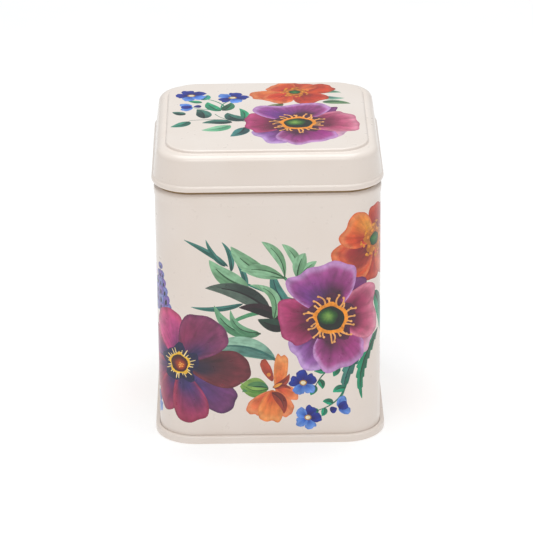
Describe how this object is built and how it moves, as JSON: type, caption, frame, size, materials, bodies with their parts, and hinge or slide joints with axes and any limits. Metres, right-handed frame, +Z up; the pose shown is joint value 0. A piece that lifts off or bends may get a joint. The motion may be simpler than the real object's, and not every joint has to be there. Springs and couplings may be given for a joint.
{
  "type": "talcum powder tin",
  "caption": "Rounded-square tinplate powder canister with a lift-off slip lid over a perforated sifter closed by a turning shutter, decorated all over with garden flowers.",
  "frame": {"origin": "centre of the foot, on the surface the tin stands on", "axes": "+Z up the tin towards the lid, -Y towards the front face, +X to the right seen from the front"},
  "size_m": [0.0812, 0.0812, 0.108],
  "materials": {
    "body_lacquer": "glossy cream lacquer with printed flowers",
    "base_lacquer": "glossy cream lacquer",
    "lining_compound": "matt grey sealing compound",
    "sifter_tinplate": "bright tinplate",
    "washer_steel": "bright",
    "rivet_steel": "polished",
    "shutter_tinplate": "bright tinplate",
    "lid_lacquer": "glossy cream lacquer with printed flowers"
  },
  "bodies": {
    "tin": {"body_wall": "body_lacquer", "base_end": "base_lacquer", "seam_gasket": "lining_compound", "sifter_plate": "sifter_tinplate", "shutter_washer": "washer_steel", "shutter_rivet": "rivet_steel"},
    "shutter": {"shutter_disc": "shutter_tinplate"},
    "lid": {"lid_shell": "lid_lacquer"}
  },
  "joints": [
    {"name": "lid_lift", "type": "slide", "parent": "tin", "child": "lid", "axis": [0, 0, 1], "range_m": [0, 0.045]},
    {"name": "shutter_turn", "type": "hinge", "parent": "tin", "child": "shutter", "pos_m": [0, 0, 0.10075], "axis": [0, 0, 1], "range_deg": [0, 15]}
  ]
}
